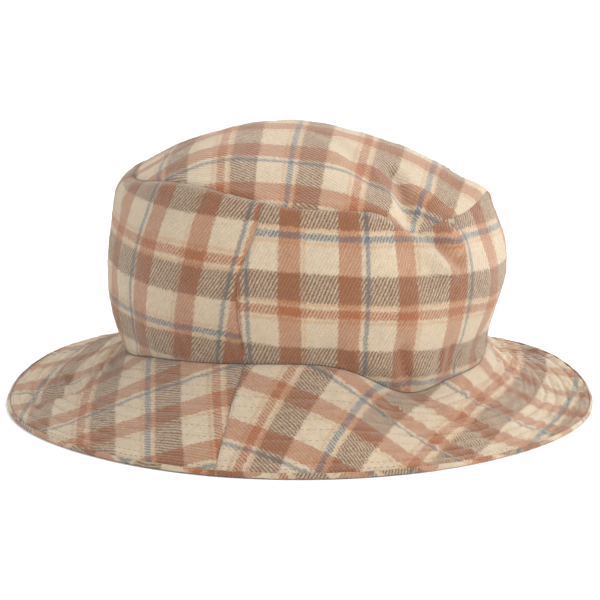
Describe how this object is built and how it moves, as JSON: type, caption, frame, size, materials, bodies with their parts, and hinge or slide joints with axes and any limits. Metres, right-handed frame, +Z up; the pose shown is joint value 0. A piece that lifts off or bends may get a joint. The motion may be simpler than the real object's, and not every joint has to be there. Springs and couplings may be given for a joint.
{
  "type": "bucket hat",
  "caption": "Soft plaid flannel bucket hat with a domed oval tip, a full soft crown and a sloping stitched brim, lined, with a sweatband and a folded label inside.",
  "frame": {"origin": "middle of the hat's outline, on the surface that its brim stands on", "axes": "+Z up through the crown, +X towards the front of the hat, so that -Y is the wearer's right"},
  "size_m": [0.3268, 0.2957, 0.1604],
  "materials": {
    "plaid_flannel": "brushed, napped twill flannel, matt with a soft sheen",
    "lining_cotton": "plain woven cotton, matt",
    "sweatband_twill": "cotton twill tape, matt",
    "stiffener": "non-woven interlining, matt",
    "thread": "spun sewing thread, slightly glossy",
    "label_cloth": "woven satin ribbon, soft gloss"
  },
  "bodies": {
    "hat": {"crown_tip": "plaid_flannel", "lining_tip": "lining_cotton", "crown_side_front": "plaid_flannel", "lining_side_front": "lining_cotton", "brim_top_front": "plaid_flannel", "brim_stiffener_front": "stiffener", "brim_facing_front": "plaid_flannel", "crown_side_back": "plaid_flannel", "lining_side_back": "lining_cotton", "brim_top_back": "plaid_flannel", "brim_stiffener_back": "stiffener", "brim_facing_back": "plaid_flannel", "sweatband": "sweatband_twill", "sweatband_stitch": "thread", "brim_rim_stitch": "thread", "brim_stitch_row_1": "thread", "brim_stitch_row_2": "thread", "brim_stitch_row_3": "thread", "brim_stitch_row_4": "thread", "brim_stitch_row_5": "thread", "brim_stitch_row_6": "thread", "brim_stitch_row_7": "thread", "brim_stitch_row_8": "thread", "brim_stitch_row_9": "thread", "label_tack": "thread"},
    "label": {"size_label": "label_cloth"}
  },
  "joints": [
    {"name": "label_flip", "type": "hinge", "parent": "hat", "child": "label", "pos_m": [-0.09966, -0.007, 0.06254], "axis": [0, -1, 0], "range_deg": [0, 140]}
  ]
}
